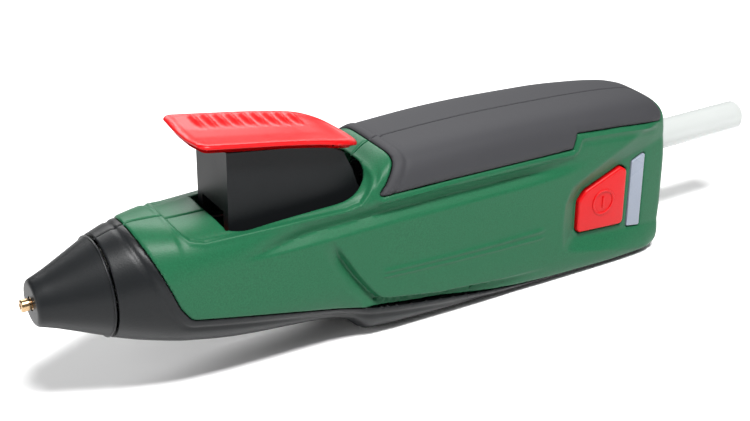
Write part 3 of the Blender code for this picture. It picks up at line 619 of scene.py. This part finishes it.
def grip_sheet():
    spacing = sizes().grid / MM
    bm, guide = skin_grid(70.0, TAIL_X, spacing)
    trim(bm, lambda p: -grip_edge(p[:, 0], p[:, 2]) - SEAT_GAP / 2)
    refine_edge(bm, 0.9)
    points = coordinates(bm)
    x, z = points[:, 0], points[:, 2]
    away = -grip_edge(x, z)
    front_line, _, _ = path_distance(GRIP_OUTLINE[-5:] + [GRIP_OUTLINE[0]], x, z)
    rim = 0.22 * (1 - smoothstep(1.8, 2.3, front_line)) - 0.2 * np.exp(-((front_line - 2.5) / 0.4) ** 2)
    push(bm, rim + 0.28 * smoothstep(0.0, 1.4, away), guide)
    roll_edge(bm, 0.7, skip=lambda p: abs(p.y) < 0.2, guide=guide)
    roll_edge(bm, 0.2, guide=guide)
    return bm


def build_grip():
    finish = plastic("soft_grip", colours().grip, 0.50, grain=0.35, speck=0.04, sheen=0.12)
    left = grip_sheet()
    right = mirrored(left)
    for sheet, name in ((left, "grip_left"), (right, "grip_right")):
        made = joined(f"soft_{name}", [sheet], finish, sizes().wall)
        dress(made, "housing", "soft_grip", name)


def spun(name, profile, finish, steps=96):
    """A closed profile of (station, radius) points spun around the glue axis."""
    bm = bmesh.new()
    verts = [bm.verts.new((x, 0, r)) for x, r in profile]
    edges = [bm.edges.new((verts[i], verts[(i + 1) % len(verts)])) for i in range(len(verts))]
    bmesh.ops.spin(bm, geom=verts + edges, cent=(0, 0, 0), axis=(1, 0, 0), angle=math.tau,
                   steps=steps, use_merge=True)
    bmesh.ops.remove_doubles(bm, verts=bm.verts, dist=1e-4)
    bmesh.ops.recalc_face_normals(bm, faces=bm.faces)
    return joined(name, [bm], finish, smooth=35)


def arc(centre, radius, start, end, steps=6):
    """Points of a rounding in a profile, from one angle in degrees to another."""
    angles = [math.radians(start + (end - start) * k / steps) for k in range(steps + 1)]
    return [(centre[0] + radius * math.cos(a), centre[1] + radius * math.sin(a)) for a in angles]


def build_nose():
    finish = plastic("nose_cone", colours().black, 0.40, grain=0.4, speck=0.05, sheen=0.22)
    outside = [(2.05, 1.5), (2.05, 3.4)] + arc((3.15, 3.8), 1.1, 180, 112) + [(4.4, 5.4)]
    outside += [(6.0, 6.0), (10.0, 7.75), (14.4, 9.72), (15.0, 9.98)]
    outside += arc((15.15, 9.92), 0.4, 110, 10, 4)
    inside = [(15.57, 9.0), (5.0, 4.3), (3.9, 1.5)]
    dress(spun("nose_cone_skin", outside + inside, finish), "housing", "black_plastic", "nose_cone")


def build_nozzle():
    finish = metal("turned_brass", colours().brass, 0.24)
    tip = [(0.9, 0.42), (0.05, 0.55)] + arc((0.3, 0.95), 0.3, 200, 90, 4)
    tip += [(1.6, 1.25), (1.75, 1.05), (2.1, 1.05), (2.25, 1.32), (4.6, 1.32), (7.0, 2.6)]
    tip += [(8.4, 2.6), (8.4, 3.6), (11.4, 3.6), (11.4, 2.2), (6.4, 0.42)]
    dress(spun("brass_nozzle", tip, finish, 64), "housing", "brass", "nozzle")


# ---------------------------------------------------------------- lever, button and stick

def pad_top(x, y):
    """Height of the thumb pad's top over a station and side, dished along its middle."""
    tops = [(35.0, 29.0), (44.0, 27.5), (56.0, 25.4), (64.0, 23.6), (69.0, 21.8), (73.4, 19.2)]
    dish = 0.75 * (1 - smoothstep(1.5, 8.8, np.abs(y))) * (1 - smoothstep(60.0, 70.0, x))
    return smooth_table(tops, 1, x) - dish


def pad_edge(x, y):
    outline = [(35.0, -9.7), (73.4, -9.7), (73.4, 9.7), (35.0, 9.7)]
    rear = np.hypot(np.maximum(x - 63.2, 0) / 1.05, y) - 9.7
    return np.where(x > 63.2, rear, rounded(outline, 2.2, x, y))


def build_pad():
    size = sizes()
    finish = plastic("red_control", colours().red, 0.34, grain=0.18, speck=0.03, sheen=0.25)
    bm = bmesh.new()
    bmesh.ops.create_grid(bm, x_segments=132, y_segments=66, size=1.0)
    for vert in bm.verts:
        vert.co = (54.0 + 19.8 * vert.co.x, 9.9 * vert.co.y, 0)
    trim(bm, lambda p: -pad_edge(p[:, 0], p[:, 1]))
    refine_edge(bm, 0.8)
    points = coordinates(bm)
    x, y = points[:, 0], points[:, 1]
    inward = -pad_edge(x, y)
    across = x + 0.08 * y
    field = smoothstep(38.6, 39.6, x) * (1 - smoothstep(63.0, 64.0, x)) * smoothstep(1.3, 2.4, inward)
    field *= smoothstep(1.4, 5.5, y)
    ribs = (0.5 + 0.5 * np.cos(across * math.tau / 2.75)) ** 1.5 * field
    rim = smoothstep(2.2, 1.0, inward)
    height = pad_top(x, y) + (size.rib / MM) * ribs + 0.15 * rim - 0.45
    for vert, z in zip(bm.verts, height):
        vert.co.z = z
    bmesh.ops.recalc_face_normals(bm, faces=bm.faces)
    bm.normal_update()
    if sum(f.normal.z for f in bm.faces) < 0:
        bmesh.ops.reverse_faces(bm, faces=bm.faces)
    roll_edge(bm, 0.9)
    made = joined("red_lever_pad", [bm], finish, 1.7 * MM)
    dress(made, "lever", "red_plastic", "lever_pad")


def node_copy(node, name, finish, width, segments=3):
    """A copy of a CAD piece with its flat faces joined and its edges rounded."""
    source = frame["nodes"][node]
    bm = bmesh.new()
    bm.from_mesh(source.data)
    bm.transform(source.matrix_world)
    bmesh.ops.remove_doubles(bm, verts=bm.verts, dist=1e-6)
    bmesh.ops.dissolve_limit(bm, angle_limit=math.radians(2), verts=bm.verts, edges=bm.edges)
    mesh = bpy.data.meshes.new(name)
    bm.to_mesh(mesh)
    bm.free()
    mesh.shade_smooth()
    mesh.set_sharp_from_angle(angle=math.radians(35))
    made = bpy.data.objects.new(name, mesh)
    bpy.context.scene.collection.objects.link(made)
    mesh.materials.append(finish)
    bevel = made.modifiers.new("edges", "BEVEL")
    bevel.width = width
    bevel.segments = segments
    bevel.limit_method = "ANGLE"
    bevel.angle_limit = math.radians(40)
    return made


def build_lever():
    finish = plastic("lever_black", colours().black, 0.42, grain=0.25, speck=0.04, sheen=0.15)
    made = node_copy("lever_frame", "lever_body", finish, 0.7 * MM, 2)
    dress(made, "lever", "black_plastic", "lever_frame")


def outline_solid(outline, radius, low, high, roundness, steps=5):
    """A solid with a rounded outline, standing out along minus y, with its outer edge rounded."""
    points = []
    inner = shrunk(outline, radius)
    count = len(inner)
    following = np.roll(inner, -1, axis=0)
    area = np.sum(inner[:, 0] * following[:, 1] - following[:, 0] * inner[:, 1])
    if area < 0:
        inner = inner[::-1]
    for i in range(count):
        before, here, after = inner[i - 1], inner[i], inner[(i + 1) % count]
        a, b = here - before, after - here
        start = math.atan2(-a[0], a[1])
        end = math.atan2(-b[0], b[1])
        while end < start - 1e-6:
            end += math.tau
        for k in range(steps + 1):
            angle = start + (end - start) * k / steps
            points.append((here[0] + radius * math.cos(angle), here[1] + radius * math.sin(angle)))
    bm = bmesh.new()
    face = bm.faces.new([bm.verts.new((x, low, z)) for x, z in points])
    grown = bmesh.ops.extrude_face_region(bm, geom=[face])
    moved = [v for v in grown["geom"] if isinstance(v, bmesh.types.BMVert)]
    bmesh.ops.translate(bm, verts=moved, vec=(0, high - low, 0))
    bmesh.ops.recalc_face_normals(bm, faces=bm.faces)
    rim = [e for e in bm.edges if all(abs(v.co.y - high) < 1e-6 for v in e.verts)]
    bmesh.ops.bevel(bm, geom=rim, offset=roundness, segments=4, profile=0.5, affect="EDGES", material=-1)
    return bm


def button_mark(face_y):
    """A raised ring with a short upright bar, the usual sign for a switch."""
    ring = bmesh.new()
    profile = [(2.6, 0.0), (2.6, -0.2), (2.7, -0.3), (3.05, -0.3), (3.15, -0.2), (3.15, 0.0)]
    verts = [ring.verts.new((r, y, 0)) for r, y in profile]
    edges = [ring.edges.new((verts[i], verts[(i + 1) % 6])) for i in range(6)]
    bmesh.ops.spin(ring, geom=verts + edges, cent=(0, 0, 0), axis=(0, 1, 0), angle=math.tau,
                   steps=48, use_merge=True)
    bmesh.ops.remove_doubles(ring, verts=ring.verts, dist=1e-4)
    bmesh.ops.recalc_face_normals(ring, faces=ring.faces)
    bmesh.ops.translate(ring, verts=ring.verts, vec=(132.8, face_y + 0.05, -6.3))
    bar = bmesh.new()
    bmesh.ops.create_cube(bar, size=1.0)
    bmesh.ops.scale(bar, vec=(0.55, 0.36, 2.9), verts=bar.verts)
    bmesh.ops.bevel(bar, geom=bar.edges[:], offset=0.08, segments=2, profile=0.5, affect="EDGES", material=-1)
    bmesh.ops.translate(bar, verts=bar.verts, vec=(132.8, face_y - 0.08, -6.3))
    return [ring, bar]


def build_button():
    finish = plastic("red_button", colours().red, 0.36, grain=0.25, speck=0.03, sheen=0.25)
    face = -(HALF_WIDTH - sizes().recess / MM + 0.7)
    cap = outline_solid(BUTTON_OUTLINE, 1.2, -10.7, face, 0.55)
    made = joined("red_power_button", [cap] + button_mark(face), finish, smooth=40)
    dress(made, "button", "red_plastic", "power_button")


def build_lens():
    finish = lens_finish("light_strip", colours().lens)
    face = -(HALF_WIDTH - sizes().recess / MM + 0.1)
    strip = outline_solid(LENS_OUTLINE, 0.4, -11.0, face, 0.25)
    made = joined("light_strip_lens", [strip], finish, smooth=40)
    dress(made, "housing", "lens", "indicator_lens")


def build_stick():
    finish = glue_finish("clear_glue", colours().glue)
    front, rear, radius = 34.5, 184.5, 3.6
    profile = [(front, 0.0), (front, radius - 0.4), (front + 0.4, radius), (rear - 0.9, radius)]
    profile += arc((rear - 0.9, radius - 0.9), 0.9, 90, 0, 5) + [(rear, 0.0)]
    made = spun("clear_glue_stick", profile, finish, 48)
    dress(made, "stick", "glue", "glue_stick")


# ---------------------------------------------------------------- finishes

def grain_group():
    """Moulded grain: a fine bump, a little shine change and faint specks in the colour."""
    found = bpy.data.node_groups.get("moulded_grain")
    if found:
        return found
    group = bpy.data.node_groups.new("moulded_grain", "ShaderNodeTree")
    face = group.interface
    for name, kind, value in (("Colour", "NodeSocketColor", (0.5, 0.5, 0.5, 1)),
                              ("Roughness", "NodeSocketFloat", 0.4),
                              ("Speck", "NodeSocketFloat", 0.1)):
        socket = face.new_socket(name, in_out="INPUT", socket_type=kind)
        socket.default_value = value
    face.new_socket("Colour", in_out="OUTPUT", socket_type="NodeSocketColor")
    face.new_socket("Roughness", in_out="OUTPUT", socket_type="NodeSocketFloat")
    face.new_socket("Height", in_out="OUTPUT", socket_type="NodeSocketFloat")
    nodes, links = group.nodes, group.links
    inside, outside = nodes.new("NodeGroupInput"), nodes.new("NodeGroupOutput")
    where = nodes.new("ShaderNodeTexCoord")
    fine, broad = nodes.new("ShaderNodeTexNoise"), nodes.new("ShaderNodeTexNoise")
    fine.inputs["Scale"].default_value = 3200.0
    fine.inputs["Detail"].default_value = 2.0
    broad.inputs["Scale"].default_value = 60.0
    broad.inputs["Detail"].default_value = 3.0
    for texture in (fine, broad):
        links.new(where.outputs["Object"], texture.inputs["Vector"])
    spread = nodes.new("ShaderNodeMapRange")
    spread.inputs["From Min"].default_value = 0.3
    spread.inputs["From Max"].default_value = 0.7
    spread.inputs["To Min"].default_value = -1.0
    spread.inputs["To Max"].default_value = 1.0
    links.new(fine.outputs["Fac"], spread.inputs["Value"])
    amount = nodes.new("ShaderNodeMath")
    amount.operation = "MULTIPLY_ADD"
    amount.inputs[2].default_value = 1.0
    links.new(spread.outputs["Result"], amount.inputs[0])
    links.new(inside.outputs["Speck"], amount.inputs[1])
    tint = nodes.new("ShaderNodeMix")
    tint.data_type = "RGBA"
    tint.blend_type = "MULTIPLY"
    tint.inputs["Factor"].default_value = 1.0
    grey = nodes.new("ShaderNodeCombineColor")
    for channel in ("Red", "Green", "Blue"):
        links.new(amount.outputs[0], grey.inputs[channel])
    links.new(inside.outputs["Colour"], tint.inputs["A"])
    links.new(grey.outputs["Color"], tint.inputs["B"])
    links.new(tint.outputs["Result"], outside.inputs["Colour"])
    shine = nodes.new("ShaderNodeMath")
    shine.operation = "MULTIPLY_ADD"
    shine.inputs[1].default_value = 0.12
    links.new(broad.outputs["Fac"], shine.inputs[0])
    links.new(inside.outputs["Roughness"], shine.inputs[2])
    links.new(shine.outputs[0], outside.inputs["Roughness"])
    links.new(fine.outputs["Fac"], outside.inputs["Height"])
    return group


def new_material(name):
    made = bpy.data.materials.new(name)
    made.use_nodes = True
    shader = made.node_tree.nodes["Principled BSDF"]
    return made, made.node_tree.nodes, made.node_tree.links, shader


def grained(name, colour, rough, grain, speck):
    """A material with the moulded grain in its colour, shine and bump."""
    made, nodes, links, shader = new_material(name)
    group = nodes.new("ShaderNodeGroup")
    group.node_tree = grain_group()
    group.inputs["Colour"].default_value = tuple(colour)
    group.inputs["Roughness"].default_value = rough - 0.06
    group.inputs["Speck"].default_value = speck
    links.new(group.outputs["Colour"], shader.inputs["Base Color"])
    links.new(group.outputs["Roughness"], shader.inputs["Roughness"])
    bump = nodes.new("ShaderNodeBump")
    bump.inputs["Strength"].default_value = grain
    bump.inputs["Distance"].default_value = 0.00006
    links.new(group.outputs["Height"], bump.inputs["Height"])
    links.new(bump.outputs["Normal"], shader.inputs["Normal"])
    return made, shader


def plastic(name, colour, rough, grain, speck, sheen=0.5):
    found = bpy.data.materials.get(name)
    if found:
        return found
    made, shader = grained(name, colour, rough, grain, speck)
    shader.inputs["Specular IOR Level"].default_value = sheen
    return made


def metal(name, colour, rough):
    found = bpy.data.materials.get(name)
    if found:
        return found
    made, shader = grained(name, colour, rough, 0.15, 0.06)
    shader.inputs["Metallic"].default_value = 1.0
    return made


def lens_finish(name, colour):
    made, _ = grained(name, colour, 0.28, 0.05, 0.02)
    return made


def glue_finish(name, colour):
    made, nodes, links, shader = new_material(name)
    cloud = nodes.new("ShaderNodeTexNoise")
    where = nodes.new("ShaderNodeTexCoord")
    links.new(where.outputs["Object"], cloud.inputs["Vector"])
    cloud.inputs["Scale"].default_value = 240.0
    level = nodes.new("ShaderNodeMapRange")
    level.inputs["To Min"].default_value = 0.10
    level.inputs["To Max"].default_value = 0.22
    links.new(cloud.outputs["Fac"], level.inputs["Value"])
    links.new(level.outputs["Result"], shader.inputs["Roughness"])
    shader.inputs["Base Color"].default_value = tuple(colour)
    shader.inputs["Transmission Weight"].default_value = 0.15
    shader.inputs["IOR"].default_value = 1.46
    return made


NODE_FINISHES = {
    "aluminium": ((0.78, 0.78, 0.80, 1), 0.32, True),
    "steel": ((0.60, 0.60, 0.62, 1), 0.30, True),
    "silicone": ((0.62, 0.16, 0.08, 1), 0.55, False),
    "black_plastic": ((0.016, 0.018, 0.020, 1), 0.45, False),
    "board": ((0.02, 0.16, 0.06, 1), 0.45, False),
    "cell_wrap": ((0.03, 0.12, 0.40, 1), 0.35, False),
    "ceramic": ((0.80, 0.78, 0.72, 1), 0.6, False),
    "white_plastic": ((0.78, 0.78, 0.76, 1), 0.5, False),
}


def finish_inner_nodes(replaced):
    """Gives every CAD piece that stays visible its own finish."""
    slots = {part["node"]: part["material_slot"] for part in frame["record"]["subparts"]}
    for node, made in frame["nodes"].items():
        if node in replaced:
            continue
        slot = slots[node]
        colour, rough, shiny = NODE_FINISHES[slot]
        if shiny:
            finish = metal(f"{slot}_part", colour, rough)
        else:
            finish = plastic(f"{slot}_part", colour, rough, 0.3, 0.05)
        made.data.materials.clear()
        made.data.materials.append(finish)


# ---------------------------------------------------------------- stage

CAMERA_AZIMUTH, CAMERA_ELEVATION = 31.3, 26.3
CAMERA_DISTANCE, CAMERA_TARGET = 303.0, (79.0, 0.0, 0.1)


def area_light(name, spot, target, size, power, tint=(1, 1, 1)):
    data = bpy.data.lights.new(name, "AREA")
    data.shape = "RECTANGLE"
    data.size, data.size_y = size
    data.energy = power
    data.color = tint
    made = bpy.data.objects.new(name, data)
    bpy.context.scene.collection.objects.link(made)
    made.location = spot
    made.rotation_euler = (Vector(target) - Vector(spot)).to_track_quat("-Z", "Y").to_euler()
    return made


SENSOR_WIDTH, LENS_LENGTH, NEAREST = 36.0, 67.2, 0.01
FLOOR_HALF, FLOOR_DROP = 3.0, 0.0002
STUDIO_LIGHT = 0.16

# Each softbox: where it stands, its two sides in metres and its power in watts
SOFTBOXES = {
    "top_softbox": ((-0.06, -0.24, 0.58), (0.26, 0.10), 6.4),
    "rear_softbox": ((0.10, 0.45, 0.35), (0.50, 0.20), 2.4),
    "front_softbox": ((-0.62, -0.16, 0.30), (0.16, 0.36), 1.1),
    "side_softbox": ((0.42, -0.30, 0.50), (0.14, 0.30), 0.5),
}
LIT_POINT = (-0.01, 0.0, 0.02)


def build_stage():
    scene = bpy.context.scene
    bm = bmesh.new()
    bmesh.ops.create_grid(bm, x_segments=1, y_segments=1, size=FLOOR_HALF)
    mesh = bpy.data.meshes.new("floor")
    bm.to_mesh(mesh)
    bm.free()
    floor = bpy.data.objects.new("floor", mesh)
    scene.collection.objects.link(floor)
    floor.location.z = -FLOOR_DROP
    made, nodes, links, shader = new_material("pale_floor")
    shader.inputs["Base Color"].default_value = (0.93, 0.93, 0.93, 1)
    shader.inputs["Roughness"].default_value = 0.9
    mesh.materials.append(made)
    world = bpy.data.worlds.new("studio")
    world.use_nodes = True
    world.node_tree.nodes["Background"].inputs["Color"].default_value = (1, 1, 1, 1)
    world.node_tree.nodes["Background"].inputs["Strength"].default_value = STUDIO_LIGHT
    scene.view_settings.view_transform = "Standard"
    scene.world = world
    for name, (spot, sides, power) in SOFTBOXES.items():
        area_light(name, spot, LIT_POINT, sides, power)
    data = bpy.data.cameras.new("camera")
    data.sensor_width = SENSOR_WIDTH
    data.lens = LENS_LENGTH
    data.clip_start = NEAREST
    camera = bpy.data.objects.new("camera", data)
    scene.collection.objects.link(camera)
    across, up = math.radians(-CAMERA_AZIMUTH), math.radians(CAMERA_ELEVATION)
    back = Vector((math.sin(across) * math.cos(up), -math.cos(across) * math.cos(up), math.sin(up)))
    camera.location = Vector(place(CAMERA_TARGET)) + back * CAMERA_DISTANCE * MM
    camera.rotation_euler = (-back).to_track_quat("-Z", "Y").to_euler()
    scene.camera = camera


# ---------------------------------------------------------------- operators and panel

REPLACED = ["shell_left", "shell_right", "keel", "grip_left", "grip_right", "nose_cone", "nozzle",
            "lever_pad", "lever_frame", "power_button", "indicator_lens", "glue_stick"]


class GLUEGUN_OT_green_shells(bpy.types.Operator):
    """Build the left and right housing shells"""
    bl_idname = "gluegun.green_shells"
    bl_label = "Green Shells"
    bl_options = {"REGISTER", "UNDO"}

    def execute(self, context):
        build_green()
        return {"FINISHED"}


class GLUEGUN_OT_black_base(bpy.types.Operator):
    """Build the nose ring and the belly"""
    bl_idname = "gluegun.black_base"
    bl_label = "Black Base"
    bl_options = {"REGISTER", "UNDO"}

    def execute(self, context):
        build_keel()
        return {"FINISHED"}


class GLUEGUN_OT_soft_grip(bpy.types.Operator):
    """Build the two halves of the soft grip"""
    bl_idname = "gluegun.soft_grip"
    bl_label = "Soft Grip"
    bl_options = {"REGISTER", "UNDO"}

    def execute(self, context):
        build_grip()
        return {"FINISHED"}


class GLUEGUN_OT_nose_cone(bpy.types.Operator):
    """Build the nose cone"""
    bl_idname = "gluegun.nose_cone"
    bl_label = "Nose Cone"
    bl_options = {"REGISTER", "UNDO"}

    def execute(self, context):
        build_nose()
        return {"FINISHED"}


class GLUEGUN_OT_nozzle(bpy.types.Operator):
    """Build the brass nozzle"""
    bl_idname = "gluegun.nozzle"
    bl_label = "Nozzle"
    bl_options = {"REGISTER", "UNDO"}

    def execute(self, context):
        build_nozzle()
        return {"FINISHED"}


class GLUEGUN_OT_lever_pad(bpy.types.Operator):
    """Build the ribbed thumb pad"""
    bl_idname = "gluegun.lever_pad"
    bl_label = "Lever Pad"
    bl_options = {"REGISTER", "UNDO"}

    def execute(self, context):
        build_pad()
        return {"FINISHED"}


class GLUEGUN_OT_lever_body(bpy.types.Operator):
    """Build the lever under the pad"""
    bl_idname = "gluegun.lever_body"
    bl_label = "Lever Body"
    bl_options = {"REGISTER", "UNDO"}

    def execute(self, context):
        build_lever()
        return {"FINISHED"}


class GLUEGUN_OT_power_button(bpy.types.Operator):
    """Build the power button"""
    bl_idname = "gluegun.power_button"
    bl_label = "Power Button"
    bl_options = {"REGISTER", "UNDO"}

    def execute(self, context):
        build_button()
        return {"FINISHED"}


class GLUEGUN_OT_light_strip(bpy.types.Operator):
    """Build the light strip"""
    bl_idname = "gluegun.light_strip"
    bl_label = "Light Strip"
    bl_options = {"REGISTER", "UNDO"}

    def execute(self, context):
        build_lens()
        return {"FINISHED"}


class GLUEGUN_OT_glue_stick(bpy.types.Operator):
    """Build the glue stick"""
    bl_idname = "gluegun.glue_stick"
    bl_label = "Glue Stick"
    bl_options = {"REGISTER", "UNDO"}

    def execute(self, context):
        build_stick()
        return {"FINISHED"}


class GLUEGUN_OT_inner_parts(bpy.types.Operator):
    """Give the pieces inside the housing their finishes"""
    bl_idname = "gluegun.inner_parts"
    bl_label = "Inner Parts"
    bl_options = {"REGISTER", "UNDO"}

    def execute(self, context):
        finish_inner_nodes(REPLACED)
        return {"FINISHED"}


class GLUEGUN_OT_stage(bpy.types.Operator):
    """Set up the floor, the lights and the camera"""
    bl_idname = "gluegun.stage"
    bl_label = "Stage"
    bl_options = {"REGISTER", "UNDO"}

    def execute(self, context):
        build_stage()
        return {"FINISHED"}


OPERATORS = [GLUEGUN_OT_green_shells,
             GLUEGUN_OT_black_base,
             GLUEGUN_OT_soft_grip,
             GLUEGUN_OT_nose_cone,
             GLUEGUN_OT_nozzle,
             GLUEGUN_OT_lever_pad,
             GLUEGUN_OT_lever_body,
             GLUEGUN_OT_power_button,
             GLUEGUN_OT_light_strip,
             GLUEGUN_OT_glue_stick,
             GLUEGUN_OT_inner_parts,
             GLUEGUN_OT_stage]


class GLUEGUN_PT_panel(bpy.types.Panel):
    """Sizes, colours and builders of the glue gun"""
    bl_idname = "GLUEGUN_PT_panel"
    bl_label = "Glue Gun"
    bl_space_type = "VIEW_3D"
    bl_region_type = "UI"
    bl_category = "Glue Gun"

    def draw(self, context):
        for group in (context.scene.glue_gun_sizes, context.scene.glue_gun_colours):
            for name in group.__annotations__:
                self.layout.prop(group, name)
        for item in OPERATORS:
            self.layout.operator(item.bl_idname)


CLASSES = [GlueGunColours, GlueGunSizes, *OPERATORS, GLUEGUN_PT_panel]


def register():
    for item in CLASSES:
        bpy.utils.register_class(item)
    bpy.types.Scene.glue_gun_colours = bpy.props.PointerProperty(type=GlueGunColours)
    bpy.types.Scene.glue_gun_sizes = bpy.props.PointerProperty(type=GlueGunSizes)


def unregister():
    del bpy.types.Scene.glue_gun_colours
    del bpy.types.Scene.glue_gun_sizes
    for item in reversed(CLASSES):
        bpy.utils.unregister_class(item)


def main():
    register()
    for item in OPERATORS:
        group, name = item.bl_idname.split(".")
        getattr(getattr(bpy.ops, group), name)()


if __name__ == "__main__":
    main()
